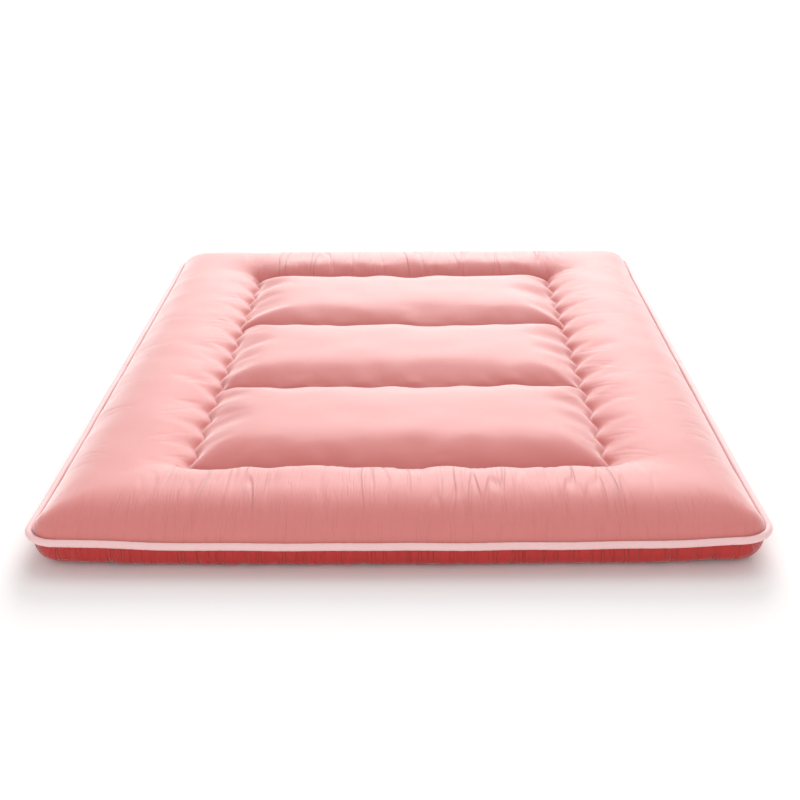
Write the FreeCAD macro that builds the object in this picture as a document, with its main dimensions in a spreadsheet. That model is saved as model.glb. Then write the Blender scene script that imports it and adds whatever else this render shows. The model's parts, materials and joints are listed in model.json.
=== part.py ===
"""A quilted futon mattress, laid flat, in three sections that fold at the two inner cross seams.

The mattress lies on the XY plane: X across the width, +Y to the head end, +Z up, origin under its centre.
A firm core batt and a soft lower batt fill a tray-shaped bottom cover.
Above them a ring of border rolls surrounds three centre pads under a domed top cover.
A piped seam at mid height joins the two covers, and the quilting threads lie in the plane of that seam.
The foot section is modelled in full, and the head section is its mirror image.
"""
import FreeCAD, Part
import os

import Sketcher

doc = FreeCAD.newDocument("futon_mattress")
sheet = doc.addObject("Spreadsheet::Sheet", "dims")

# Driving dimensions in millimetres: alias, size, meaning.
DRIVING_SIZES = [
    ("overall_width", 1500, "across the piping, along X"),
    ("overall_length", 2000, "across the piping, along Y"),
    ("crown_height", 120, "floor to the top of the covers"),
    ("border_width", 295, "piping's outer face to the ring seam"),
    ("piping_height", 62, "floor to the centre of the piped seam"),
    ("piping_diameter", 15, "over the tape"),
    ("tape_thickness", 1.2, "bias tape round the cord"),
    ("flange_width", 12, "tape's seam allowance, inside the piping"),
    ("cord_slack", 0.3, "gap between the cord and its tape"),
    ("fabric_thickness", 1.2, "both covers"),
    ("fill_clearance", 0.5, "gap between a cover and the fill"),
    ("fold_gap", 1.0, "gap between two sections at a fold"),
    ("corner_radius", 60, "of the bottom cover, in plan"),
    ("core_height", 26, "firm needled batt"),
    ("edge_share", 0.9, "of the lower batt's height, rounded at its lower edge"),
    ("dome_share", 0.9, "of the upper fill's height, rounded at its top edges"),
    ("thread_diameter", 1.0, "sewing and quilting thread"),
    ("thread_gap", 0.3, "thread to the flange's raw edge"),
]
for row, (alias, size, meaning) in enumerate(DRIVING_SIZES, start=1):
    sheet.set(f"A{row}", meaning)
    sheet.set(f"B{row}", str(size))
    sheet.setAlias(f"B{row}", alias)
doc.recompute()

# Expressions that place the pieces, all worked out from the sheet.
SKIN = "(dims.fabric_thickness + dims.fill_clearance)"
HALF_GAP = "(dims.fold_gap / 2)"
FOLD_Y = "((dims.overall_length / 2 - dims.border_width) / 3)"
FOLD_EDGE = f"({FOLD_Y} + {HALF_GAP})"
MIDDLE_EDGE = f"({FOLD_Y} - {HALF_GAP})"
SEAM_X = "(dims.overall_width / 2 - dims.border_width)"
SEAM_Y = "(dims.overall_length / 2 - dims.border_width)"
COVER_X = "(dims.overall_width / 2 - dims.piping_diameter)"
COVER_Y = "(dims.overall_length / 2 - dims.piping_diameter)"
FILL_X = f"({COVER_X} - {SKIN})"
FILL_Y = f"({COVER_Y} - {SKIN})"
CORE_TOP = "(dims.piping_height - dims.tape_thickness / 2)"
CORE_FOOT = f"({CORE_TOP} - dims.core_height)"
FILL_FOOT = "(dims.piping_height + dims.tape_thickness / 2)"
FILL_TOP = f"(dims.crown_height - {SKIN})"
PIPE_RADIUS = "(dims.piping_diameter / 2)"
BATT_HEIGHT = f"({CORE_FOOT} - {SKIN})"
BATT_ROUND = f"(dims.edge_share * {BATT_HEIGHT})"
DOME_ROUND = f"(dims.dome_share * ({FILL_TOP} - {FILL_FOOT}))"
PAST = "5"  # how far a cutting tool runs past the face it opens

ORIGIN_POINT = (-1, 1)
H_AXIS, V_AXIS = -1, -2
START, END, CENTRE = 1, 2, 3
NEAR = 1e-4


def value(expression):
    """The number, in millimetres, that an expression has now."""
    result = sheet.evalExpression(str(expression))
    return float(getattr(result, "Value", result))


def origin_plane(body, role):
    """One of a body's own origin planes, such as XY_Plane."""
    return next(f for f in body.Origin.OriginFeatures if f.Role == role)


def new_body(label, at=("0", "0", "0")):
    """An empty body whose placement follows three expressions."""
    body = doc.addObject("PartDesign::Body", label)
    body.Label = label
    for axis, expression in zip("xyz", at):
        body.setExpression(f"Placement.Base.{axis}", expression)
    return body


def new_sketch(body, plane, offset="0"):
    """A sketch on one of the body's origin planes, moved along the plane's normal."""
    sketch = body.newObject("Sketcher::SketchObject", body.Name + "_outline")
    sketch.AttachmentSupport = (origin_plane(body, plane), [""])
    sketch.MapMode = "FlatFace"
    sketch.setExpression("AttachmentOffset.Base.z", offset)
    return sketch


def bind(sketch, kind, *places, expression):
    """A dimension in a sketch that follows an expression."""
    number = sketch.addConstraint(Sketcher.Constraint(kind, *places, value(expression)))
    sketch.setExpression(f"Constraints[{number}]", expression)


def draw_polygon(sketch, corners):
    """A closed outline through corners whose coordinates are expressions, none negative."""
    points = [FreeCAD.Vector(value(x), value(y), 0) for x, y in corners]
    count = len(points)
    for i, point in enumerate(points):
        sketch.addGeometry(Part.LineSegment(point, points[(i + 1) % count]), False)
    for i, (x, y) in enumerate(corners):
        following = (i + 1) % count
        sketch.addConstraint(Sketcher.Constraint("Coincident", i, END, following, START))
        if points[i].x < NEAR:
            sketch.addConstraint(Sketcher.Constraint("PointOnObject", i, START, V_AXIS))
        else:
            bind(sketch, "DistanceX", *ORIGIN_POINT, i, START, expression=x)
        if points[i].y < NEAR:
            sketch.addConstraint(Sketcher.Constraint("PointOnObject", i, START, H_AXIS))
        else:
            bind(sketch, "DistanceY", *ORIGIN_POINT, i, START, expression=y)


def draw_circle(sketch, diameter):
    """A circle about the sketch's origin."""
    circle = Part.Circle(FreeCAD.Vector(0, 0, 0), FreeCAD.Vector(0, 0, 1), value(diameter) / 2)
    number = sketch.addGeometry(circle, False)
    sketch.addConstraint(Sketcher.Constraint("Coincident", number, CENTRE, *ORIGIN_POINT))
    bind(sketch, "Diameter", number, expression=diameter)


def pad(body, sketch, length, symmetric=False):
    """Pads a sketch by an expression's length."""
    feature = body.newObject("PartDesign::Pad", body.Name + "_pad")
    feature.Profile = sketch
    feature.setExpression("Length", length)
    feature.Midplane = symmetric
    sketch.Visibility = False
    doc.recompute()
    return feature


def round_edges(body, feature, radius, wanted):
    """Fillets the edges for which wanted(edge) is true."""
    names = [f"Edge{i}" for i, edge in enumerate(feature.Shape.Edges, start=1) if wanted(edge)]
    fillet = body.newObject("PartDesign::Fillet", body.Name + "_round")
    fillet.Base = (feature, names)
    fillet.setExpression("Radius", radius)
    doc.recompute()
    return fillet


def level(edge, height):
    """True if an edge lies flat at a height in its body's own frame."""
    box = edge.BoundBox
    return abs(box.ZMin - height) < NEAR and abs(box.ZMax - height) < NEAR


def upright(edge):
    """True if an edge is vertical."""
    box = edge.BoundBox
    return box.XLength < NEAR and box.YLength < NEAR


def at_fold(edge, fold):
    """True if all of an edge lies on the section's fold face, in its body's own frame."""
    box = edge.BoundBox
    return abs(box.YMin - fold) < NEAR and abs(box.YMax - fold) < NEAR


def dome(label, corners, at, grow, foot, skip=lambda edge: False):
    """A fill piece: an upright prism with rounded upper edges, offset outwards by grow."""
    body = new_body(label, (*at, foot))
    sketch = new_sketch(body, "XY_Plane")
    draw_polygon(sketch, corners)
    height = f"({FILL_TOP} + {grow} - {foot})"
    block = pad(body, sketch, height)
    top = value(height)
    chosen = round_edges(
        body, block, f"({DOME_ROUND} + {grow})", lambda edge: level(edge, top) and not skip(edge)
    )
    body.Tip = chosen
    return body


def corner_cut(grow):
    """The leg of the cut off a ring corner: on the top cover, from end to end of the rounded corner."""
    return f"(dims.corner_radius + (2 - sqrt(2)) * ({grow} - {SKIN}))"


def mitre_edge(edge):
    """True for a diagonal edge longer than any corner cut, which a mitre is."""
    first, last = edge.Vertexes[0].Point, edge.Vertexes[-1].Point
    across, along = last.x - first.x, last.y - first.y
    slanted = abs(abs(across) - abs(along)) < NEAR and abs(across) > NEAR
    return slanted and edge.Length > value("2 * dims.corner_radius")


def foot_side_roll(label, grow="0", foot=FILL_FOOT, past="0"):
    """The border's left roll in the foot section, mitred at the corner and flat at the fold."""
    width = f"({FILL_X} - {SEAM_X} - {SKIN} + 2 * {grow})"
    reach = f"({FILL_Y} + {grow} - {FOLD_EDGE} + {past})"
    cut = corner_cut(grow)
    corners = [
        ("0", cut),
        (f"{cut} / 2", f"{cut} / 2"),
        (width, width),
        (width, reach),
        ("0", reach),
    ]
    fold = value(reach)
    at = (f"-({FILL_X} + {grow})", f"-({FILL_Y} + {grow})")
    return dome(label, corners, at, grow, foot, lambda e: at_fold(e, fold) or mitre_edge(e))


def foot_end_roll(label, grow="0", foot=FILL_FOOT):
    """The border's roll across the foot, mitred at both ends."""
    width = f"({FILL_X} - {SEAM_X} - {SKIN} + 2 * {grow})"
    span = f"(2 * ({FILL_X} + {grow}))"
    cut = corner_cut(grow)
    corners = [
        (cut, "0"),
        (f"{span} - {cut}", "0"),
        (f"{span} - {cut} / 2", f"{cut} / 2"),
        (f"{span} - {width}", width),
        (width, width),
        (f"{cut} / 2", f"{cut} / 2"),
    ]
    at = (f"-({FILL_X} + {grow})", f"-({FILL_Y} + {grow})")
    return dome(label, corners, at, grow, foot, mitre_edge)


def rectangle(width, length):
    """The four corners of a rectangle from the origin."""
    return [("0", "0"), (width, "0"), (width, length), ("0", length)]


def foot_centre_pad(label, grow="0", foot=FILL_FOOT):
    """The centre pad of the foot section, with a valley on all four sides."""
    half = f"({SEAM_X} - {SKIN} + {grow})"
    length = f"({SEAM_Y} - {FOLD_EDGE} - 2 * {SKIN} + 2 * {grow})"
    at = (f"-{half}", f"-({SEAM_Y} - {SKIN} + {grow})")
    return dome(label, rectangle(f"2 * {half}", length), at, grow, foot)


def middle_side_roll(label, grow="0", foot=FILL_FOOT, past="0"):
    """The border's left roll in the middle section, flat at both folds."""
    width = f"({FILL_X} - {SEAM_X} - {SKIN} + 2 * {grow})"
    length = f"(2 * ({MIDDLE_EDGE} + {past}))"
    far = value(length)
    at = (f"-({FILL_X} + {grow})", f"-({MIDDLE_EDGE} + {past})")
    return dome(
        label, rectangle(width, length), at, grow, foot, lambda e: at_fold(e, 0) or at_fold(e, far)
    )


def middle_centre_pad(label, grow="0", foot=FILL_FOOT):
    """The centre pad of the middle section."""
    half_x = f"({SEAM_X} - {SKIN} + {grow})"
    half_y = f"({MIDDLE_EDGE} - {SKIN} + {grow})"
    at = (f"-{half_x}", f"-{half_y}")
    return dome(label, rectangle(f"2 * {half_x}", f"2 * {half_y}"), at, grow, foot)


def mirrored(source, label, normal):
    """A mirror image of an object in a plane through the origin."""
    image = doc.addObject("Part::Mirroring", label)
    image.Label = label
    image.Source = source
    image.Base = (0, 0, 0)
    image.Normal = normal
    return image


def across(source, label):
    """The right-hand twin of a left-hand piece."""
    return mirrored(source, label, (1, 0, 0))


def fused(label, pieces):
    """One solid from several that share faces."""
    union = doc.addObject("Part::MultiFuse", label)
    union.Shapes = pieces
    return union


def domed_cover(label, outer, inner):
    """A fabric shell: what lies between the outer domes and the inner ones."""
    cover = doc.addObject("Part::Cut", label)
    cover.Label = label
    cover.Base = fused(label + "_outside", outer)
    cover.Tool = fused(label + "_inside", inner)
    return cover


def foot_top_cover():
    """The foot section's domed top cover, open below and at the fold."""
    inside, below = "dims.fill_clearance", f"({FILL_FOOT} - {PAST})"
    outer_side = foot_side_roll("foot_outer_side", SKIN)
    inner_side = foot_side_roll("foot_inner_side", inside, below, PAST)
    outer = [outer_side, across(outer_side, "foot_outer_side_right")]
    outer += [foot_end_roll("foot_outer_end", SKIN), foot_centre_pad("foot_outer_pad", SKIN)]
    inner = [inner_side, across(inner_side, "foot_inner_side_right")]
    inner += [foot_end_roll("foot_inner_end", inside, below)]
    inner += [foot_centre_pad("foot_inner_pad", inside, below)]
    return domed_cover("foot_top_cover", outer, inner)


def middle_top_cover():
    """The middle section's domed top cover, open below and at both folds."""
    inside, below = "dims.fill_clearance", f"({FILL_FOOT} - {PAST})"
    outer_side = middle_side_roll("middle_outer_side", SKIN)
    inner_side = middle_side_roll("middle_inner_side", inside, below, PAST)
    outer = [outer_side, across(outer_side, "middle_outer_side_right")]
    outer += [middle_centre_pad("middle_outer_pad", SKIN)]
    inner = [inner_side, across(inner_side, "middle_inner_side_right")]
    inner += [middle_centre_pad("middle_inner_pad", inside, below)]
    return domed_cover("middle_top_cover", outer, inner)


def slab(label, half_x, low_y, high_y, foot, height, corner=None, lower_edge=None):
    """A flat layer whose outer corners and lower edge may be rounded. Its fold faces stay square."""
    length = f"({high_y} - {low_y})"
    body = new_body(label, (f"-{half_x}", low_y, foot))
    sketch = new_sketch(body, "XY_Plane")
    draw_polygon(sketch, rectangle(f"2 * {half_x}", length))
    feature = pad(body, sketch, height)
    far = value(length)
    if corner:
        feature = round_edges(
            body, feature, corner, lambda e: upright(e) and abs(e.BoundBox.YMin) < NEAR
        )
    if lower_edge:
        both_folds = not corner
        feature = round_edges(
            body,
            feature,
            lower_edge,
            lambda e: level(e, 0) and not at_fold(e, far) and not (both_folds and at_fold(e, 0)),
        )
    body.Tip = feature
    return body


def tray(body, open_folds):
    """Turns a rounded slab into a fabric tray, open on top and at its fold faces."""
    solid = body.Tip
    box = solid.Shape.BoundBox
    names = []
    for i, face in enumerate(solid.Shape.Faces, start=1):
        side = face.BoundBox
        on_top = abs(side.ZMin - box.ZMax) < NEAR
        at_low = "low" in open_folds and abs(side.YMax - box.YMin) < NEAR
        at_high = "high" in open_folds and abs(side.YMin - box.YMax) < NEAR
        if on_top or at_low or at_high:
            names.append(f"Face{i}")
    shell = body.newObject("PartDesign::Thickness", body.Name + "_shell")
    shell.Base = (solid, names)
    shell.setExpression("Value", "dims.fabric_thickness")
    shell.Mode = 0
    shell.Join = 0
    shell.Reversed = True
    body.Tip = shell
    doc.recompute()
    return body


def foot_layers():
    """The foot section's bottom cover, lower batt and core batt."""
    corner = f"(dims.corner_radius - {SKIN})"
    low, high = f"(-{FILL_Y})", f"(-{FOLD_EDGE})"
    cover = slab(
        "foot_bottom_cover", COVER_X, f"(-{COVER_Y})", high, "0", CORE_TOP,
        "dims.corner_radius", f"({BATT_ROUND} + {SKIN})",
    )
    return [
        tray(cover, ["high"]),
        slab("foot_lower_batt", FILL_X, low, high, SKIN, BATT_HEIGHT, corner, BATT_ROUND),
        slab("foot_core_batt", FILL_X, low, high, CORE_FOOT, "dims.core_height", corner),
    ]


def middle_layers():
    """The middle section's bottom cover, lower batt and core batt."""
    low, high = f"(-{MIDDLE_EDGE})", MIDDLE_EDGE
    cover = slab(
        "middle_bottom_cover", COVER_X, low, high, "0", CORE_TOP,
        lower_edge=f"({BATT_ROUND} + {SKIN})",
    )
    return [
        tray(cover, ["low", "high"]),
        slab("middle_lower_batt", FILL_X, low, high, SKIN, BATT_HEIGHT, lower_edge=BATT_ROUND),
        slab("middle_core_batt", FILL_X, low, high, CORE_FOOT, "dims.core_height"),
    ]


def draw_tape(sketch):
    """The piping tape's section: a ring about the origin with a flat flange on its +X side."""
    radius, half = value(PIPE_RADIUS), value("dims.tape_thickness") / 2
    reach = radius + value("dims.flange_width")
    root = (radius**2 - half**2) ** 0.5
    ring = Part.Circle(FreeCAD.Vector(0, 0, 0), FreeCAD.Vector(0, 0, 1), radius)
    turn = ring.parameter(FreeCAD.Vector(root, half, 0)), ring.parameter(FreeCAD.Vector(root, -half, 0))
    sketch.addGeometry(Part.ArcOfCircle(ring, *turn), False)
    points = [(root, -half), (reach, -half), (reach, half), (root, half)]
    for first, last in zip(points, points[1:]):
        sketch.addGeometry(
            Part.LineSegment(FreeCAD.Vector(*first, 0), FreeCAD.Vector(*last, 0)), False
        )
    arc, lower, tip, upper = range(4)
    for pair in ((arc, END, lower, START), (lower, END, tip, START), (tip, END, upper, START),
                 (upper, END, arc, START), (arc, CENTRE, *ORIGIN_POINT)):
        sketch.addConstraint(Sketcher.Constraint("Coincident", *pair))
    sketch.addConstraint(Sketcher.Constraint("Horizontal", lower))
    sketch.addConstraint(Sketcher.Constraint("Horizontal", upper))
    sketch.addConstraint(Sketcher.Constraint("Symmetric", tip, START, tip, END, H_AXIS))
    bind(sketch, "Radius", arc, expression=PIPE_RADIUS)
    bind(sketch, "DistanceY", tip, START, tip, END, expression="dims.tape_thickness")
    bind(sketch, "DistanceX", *ORIGIN_POINT, tip, START, expression=f"{PIPE_RADIUS} + dims.flange_width")
    draw_circle(sketch, "dims.piping_diameter - 2 * dims.tape_thickness")


def draw_cord(sketch):
    """The piping cord's section."""
    draw_circle(
        sketch, "dims.piping_diameter - 2 * dims.tape_thickness - 2 * dims.cord_slack"
    )


def draw_thread(sketch):
    """A thread's section."""
    draw_circle(sketch, "dims.thread_diameter")


def draw_route(sketch, width, reach, radius):
    """An open path: down the left side, round two arcs and up the right side."""
    w, y, r = value(width), value(reach), value(radius)
    up = FreeCAD.Vector(0, 0, 1)
    quarter = 3.141592653589793 / 2
    left_arc = Part.Circle(FreeCAD.Vector(r, r, 0), up, r)
    right_arc = Part.Circle(FreeCAD.Vector(w - r, r, 0), up, r)
    for curve in (
        Part.LineSegment(FreeCAD.Vector(0, y, 0), FreeCAD.Vector(0, r, 0)),
        Part.ArcOfCircle(left_arc, 2 * quarter, 3 * quarter),
        Part.LineSegment(FreeCAD.Vector(r, 0, 0), FreeCAD.Vector(w - r, 0, 0)),
        Part.ArcOfCircle(right_arc, 3 * quarter, 4 * quarter),
        Part.LineSegment(FreeCAD.Vector(w, r, 0), FreeCAD.Vector(w, y, 0)),
    ):
        sketch.addGeometry(curve, False)
    left, first, end, second, right = range(5)
    for pair in ((left, END, first, START), (first, END, end, START),
                 (end, END, second, START), (second, END, right, START)):
        sketch.addConstraint(Sketcher.Constraint("Tangent", *pair))
    sketch.addConstraint(Sketcher.Constraint("PointOnObject", left, START, V_AXIS))
    sketch.addConstraint(Sketcher.Constraint("Vertical", left))
    sketch.addConstraint(Sketcher.Constraint("Horizontal", end))
    sketch.addConstraint(Sketcher.Constraint("PointOnObject", end, START, H_AXIS))
    sketch.addConstraint(Sketcher.Constraint("Vertical", right))
    sketch.addConstraint(Sketcher.Constraint("Equal", first, second))
    bind(sketch, "Radius", first, expression=radius)
    bind(sketch, "DistanceX", *ORIGIN_POINT, right, END, expression=width)
    bind(sketch, "DistanceY", *ORIGIN_POINT, left, START, expression=reach)
    bind(sketch, "DistanceY", *ORIGIN_POINT, right, END, expression=reach)


def foot_edging(label, draw_section, inset):
    """A piece of edging swept round the foot end, inset from the piping's outer face."""
    half_x = f"(dims.overall_width / 2 - {inset})"
    end_y = f"(dims.overall_length / 2 - {inset})"
    reach = f"({end_y} - {FOLD_EDGE})"
    radius = f"(dims.corner_radius + dims.piping_diameter - {inset})"
    body = new_body(label, (f"-{half_x}", f"-{end_y}", "dims.piping_height"))
    section = new_sketch(body, "XZ_Plane", f"-{reach}")
    draw_section(section)
    route = new_sketch(body, "XY_Plane")
    draw_route(route, f"2 * {half_x}", reach, radius)
    doc.recompute()
    pipe = body.newObject("PartDesign::AdditivePipe", body.Name + "_sweep")
    pipe.Profile = section
    pipe.Spine = (route, [f"Edge{i}" for i in range(1, 6)])
    doc.recompute()
    body.Tip = pipe
    return body


def middle_edging(label, draw_section, inset):
    """A straight piece of edging along the middle section's left side."""
    half_x = f"(dims.overall_width / 2 - {inset})"
    body = new_body(label, (f"-{half_x}", "0", "dims.piping_height"))
    section = new_sketch(body, "XZ_Plane")
    draw_section(section)
    body.Tip = pad(body, section, f"2 * {MIDDLE_EDGE}", symmetric=True)
    return body


def thread_run(name, start, direction, length):
    """A straight run of thread in the plane of the piped seam."""
    run = doc.addObject("Part::Cylinder", name)
    run.setExpression("Radius", "dims.thread_diameter / 2")
    run.setExpression("Height", length)
    run.Placement.Rotation = FreeCAD.Rotation(FreeCAD.Vector(0, 0, 1), direction)
    for axis, expression in zip("xyz", (*start, "dims.piping_height")):
        run.setExpression(f"Placement.Base.{axis}", expression)
    return run


def grouped(label, pieces):
    """Separate solids that share one node."""
    group = doc.addObject("Part::Compound", label)
    group.Label = label
    group.Links = pieces
    return group


def foot_quilt_thread():
    """The ring seam's thread in the foot section: two sides and the end."""
    along, sideways = FreeCAD.Vector(0, 1, 0), FreeCAD.Vector(1, 0, 0)
    low = f"(-{SEAM_Y} + dims.thread_diameter)"
    left = thread_run("foot_quilt_left", (f"-{SEAM_X}", low), along, f"(-{FOLD_EDGE} - {low})")
    end = thread_run("foot_quilt_end", (f"-{SEAM_X}", f"-{SEAM_Y}"), sideways, f"2 * {SEAM_X}")
    return grouped("foot_quilt_thread", [left, across(left, "foot_quilt_right"), end])


def middle_quilt_thread():
    """The ring seam's thread in the middle section, which stops short of the two cross seams."""
    inset = "(2 * dims.thread_diameter)"
    start = (f"-{SEAM_X}", f"-({MIDDLE_EDGE} - {inset})")
    left = thread_run(
        "middle_quilt_left", start, FreeCAD.Vector(0, 1, 0), f"2 * ({MIDDLE_EDGE} - {inset})"
    )
    return grouped("middle_quilt_thread", [left, across(left, "middle_quilt_right")])


def cross_seam_thread(label):
    """The thread of the cross seam at the foot-side fold."""
    run = thread_run(
        label,
        (f"-{SEAM_X}", f"-({MIDDLE_EDGE} - dims.thread_diameter / 2)"),
        FreeCAD.Vector(1, 0, 0),
        f"2 * {SEAM_X}",
    )
    run.Label = label
    return run


PIPING = PIPE_RADIUS
OVERLOCK = "(dims.piping_diameter + dims.flange_width + dims.thread_gap + dims.thread_diameter / 2)"

foot_left = foot_side_roll("foot_left_roll")
foot_pieces = [
    foot_left,
    across(foot_left, "foot_right_roll"),
    foot_end_roll("foot_end_roll"),
    foot_centre_pad("foot_centre_pad"),
    *foot_layers(),
    foot_top_cover(),
    foot_edging("foot_piping_tape", draw_tape, PIPING),
    foot_edging("foot_piping_cord", draw_cord, PIPING),
    foot_edging("foot_seam_thread", draw_thread, OVERLOCK),
    foot_quilt_thread(),
]

middle_left = middle_side_roll("middle_left_roll")
left_tape = middle_edging("middle_left_piping_tape", draw_tape, PIPING)
left_cord = middle_edging("middle_left_piping_cord", draw_cord, PIPING)
left_seam = middle_edging("middle_seam_left", draw_thread, OVERLOCK)
foot_cross_seam = cross_seam_thread("foot_cross_seam_thread")
middle_pieces = [
    middle_left,
    across(middle_left, "middle_right_roll"),
    middle_centre_pad("middle_centre_pad"),
    *middle_layers(),
    middle_top_cover(),
    left_tape,
    across(left_tape, "middle_right_piping_tape"),
    left_cord,
    across(left_cord, "middle_right_piping_cord"),
    grouped("middle_seam_thread", [left_seam, across(left_seam, "middle_seam_right")]),
    middle_quilt_thread(),
    foot_cross_seam,
    mirrored(foot_cross_seam, "head_cross_seam_thread", (0, 1, 0)),
]

head_pieces = [
    mirrored(piece, piece.Label.replace("foot_", "head_"), (0, 1, 0)) for piece in foot_pieces
]

doc.recompute()
sub_parts = foot_pieces + middle_pieces + head_pieces

for item in doc.Objects:
    if {"Invalid", "Error"} & set(item.State):
        raise RuntimeError(f"{item.Label} failed: {item.State}")
for piece in sub_parts:
    shape = piece.Shape
    if shape.isNull() or not shape.isValid() or not shape.Solids:
        raise RuntimeError(f"{piece.Label} has no valid solid")

os.makedirs("parts", exist_ok=True)
for piece in sub_parts:
    piece.Shape.exportStep(os.path.join("parts", piece.Label + ".step"))
    solids = len(piece.Shape.Solids)
    print(f"{piece.Label}: {solids} solid(s), {piece.Shape.Volume / 1000:.1f} cm3")
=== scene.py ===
"""The looks of a quilted futon mattress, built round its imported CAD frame."""

import json
import math

import bpy
import numpy as np
from mathutils import Matrix, Vector


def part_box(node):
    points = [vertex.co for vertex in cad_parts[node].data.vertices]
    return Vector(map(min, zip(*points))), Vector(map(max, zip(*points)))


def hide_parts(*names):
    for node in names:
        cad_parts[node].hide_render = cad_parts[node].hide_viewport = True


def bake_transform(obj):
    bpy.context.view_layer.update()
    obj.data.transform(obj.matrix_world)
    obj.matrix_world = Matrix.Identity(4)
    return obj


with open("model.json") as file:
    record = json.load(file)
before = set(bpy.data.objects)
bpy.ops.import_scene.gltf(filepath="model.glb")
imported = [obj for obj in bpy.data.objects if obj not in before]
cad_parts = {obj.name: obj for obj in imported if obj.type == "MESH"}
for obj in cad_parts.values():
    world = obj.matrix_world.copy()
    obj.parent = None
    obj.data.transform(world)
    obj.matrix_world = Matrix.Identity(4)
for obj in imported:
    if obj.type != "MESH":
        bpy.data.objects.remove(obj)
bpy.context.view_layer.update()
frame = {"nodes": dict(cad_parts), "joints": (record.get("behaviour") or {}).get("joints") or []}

# ---------------------------------------------------------------- sizes, from the frame, in metres
tape_low, tape_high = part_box("foot_piping_tape")
cover_low, cover_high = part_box("foot_bottom_cover")
quilt_low, quilt_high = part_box("foot_quilt_thread")
hinge = {joint["name"]: joint["pos_m"] for joint in frame["joints"]}

UP = [0.0, 0.0, 1.0]
THREAD_RADIUS = (quilt_high[2] - quilt_low[2]) / 2
COVER_X, COVER_Y = cover_high[0], -cover_low[1]
SEAM_X, SEAM_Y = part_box("foot_cross_seam_thread")[1][0], -quilt_low[1] - THREAD_RADIUS
FOLD_Y = hinge["middle_fold"][1]
PIPE_Z = (tape_low[2] + tape_high[2]) / 2
PIPE_RADIUS = (tape_high[2] - tape_low[2]) / 2
PIPE_X, PIPE_Y = tape_high[0] - PIPE_RADIUS, -tape_low[1] - PIPE_RADIUS
CROWN_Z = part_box("foot_top_cover")[1][2]

CELL = 0.009  # spacing of the simulated grid
CORNER = 0.058  # plan radius of the covers' corners
ON_LINE = 1e-6  # how near to a seam's line a grid point counts as on it
SIDES = ("foot", "head")


def smooth(x, low=0.0, high=1.0):
    """0 below low, 1 above high, and a smooth step between."""
    t = np.clip((x - low) / (high - low), 0, 1)
    return t * t * (3 - 2 * t)


def perlin(x, y, seed):
    """Gradient noise over two coordinates, between about -1 and 1."""
    table = np.random.default_rng(seed).uniform(0, 2 * math.pi, (256, 256))
    cell_x, cell_y = np.floor(x).astype(int), np.floor(y).astype(int)
    part_x, part_y = x - cell_x, y - cell_y

    def corner(step_x, step_y):
        angle = table[(cell_x + step_x) % 256, (cell_y + step_y) % 256]
        return np.cos(angle) * (part_x - step_x) + np.sin(angle) * (part_y - step_y)

    fade_x, fade_y = smooth(part_x), smooth(part_y)
    low = corner(0, 0) * (1 - fade_x) + corner(1, 0) * fade_x
    high = corner(0, 1) * (1 - fade_x) + corner(1, 1) * fade_x
    return 1.5 * (low * (1 - fade_y) + high * fade_y)


# ---------------------------------------------------------------- the top cover's shape
RING_DEPTH, CROSS_DEPTH = 0.042, 0.032  # how far the seams' valleys lie below the crown
BORDER_SLOPE, BORDER_END_SLOPE = 0.120, 0.065  # how wide the borders' slopes are, at the sides and the ends
PAD_SLOPE, CROSS_SLOPE = 0.110, 0.095  # the same for the pads
BESIDE_CROSS, CROSS_LEFT = 0.05, 0.6  # slope and share of a cross seam's valley past its end, in the border
SEAM_STEEPNESS = 0.95  # 1 would be upright at the seam
START_CROWN = CROWN_Z - 0.001  # the crown before the pressure swells it
EDGE_RUN, EDGE_POWER = 0.138, 2.15  # how the border curves down to the piping
VALLEY_FADE = (0.05, 0.16)  # the valleys fade out between these distances from the edge
CORNER_NORM = 2.6  # how full the mattress stays at its corners
SLOPE_LUMPS, LUMP_LENGTH = 0.35, 0.075  # unevenness of the slopes along a seam
TUCK = 0.105  # pitch of the alternating tucks along the side seams
TUCK_REACH, TUCK_PUFF, TUCK_SWAY, SWAY_REACH = 0.012, 0.008, 0.006, 0.018
SCALLOP_PUFF, SCALLOP_REACH, SCALLOP_LENGTH = 0.006, 0.030, 0.062
TUCK_START, SCALLOP_START = 0.014, 0.016  # puffs grow to their full size over this distance from a seam
CREST, CREST_LENGTH = 0.004, 0.09  # how far the seams that run across rise and fall
WAVE, WAVE_LENGTH = 0.0016, 0.11  # gentle unevenness of the whole cover


def quarter(run, rise, power, count=400):
    """A quarter superellipse that starts upright and ends level: arc length, run and rise."""
    angle = np.linspace(0, math.pi / 2, count)
    across = run * (1 - np.cos(angle) ** (2 / power))
    up = rise * np.sin(angle) ** (2 / power)
    arc = np.concatenate([[0], np.cumsum(np.hypot(np.diff(across), np.diff(up)))])
    return arc, across, up


def dip(distance, slope):
    """How much of a seam's full depth is left at a distance from it: 1 at the seam, 0 past its slope."""
    t = SEAM_STEEPNESS * (1 - np.clip(distance / slope, 0, 1))
    return (1 - np.sqrt(1 - t**2)) / (1 - math.sqrt(1 - SEAM_STEEPNESS**2))


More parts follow.
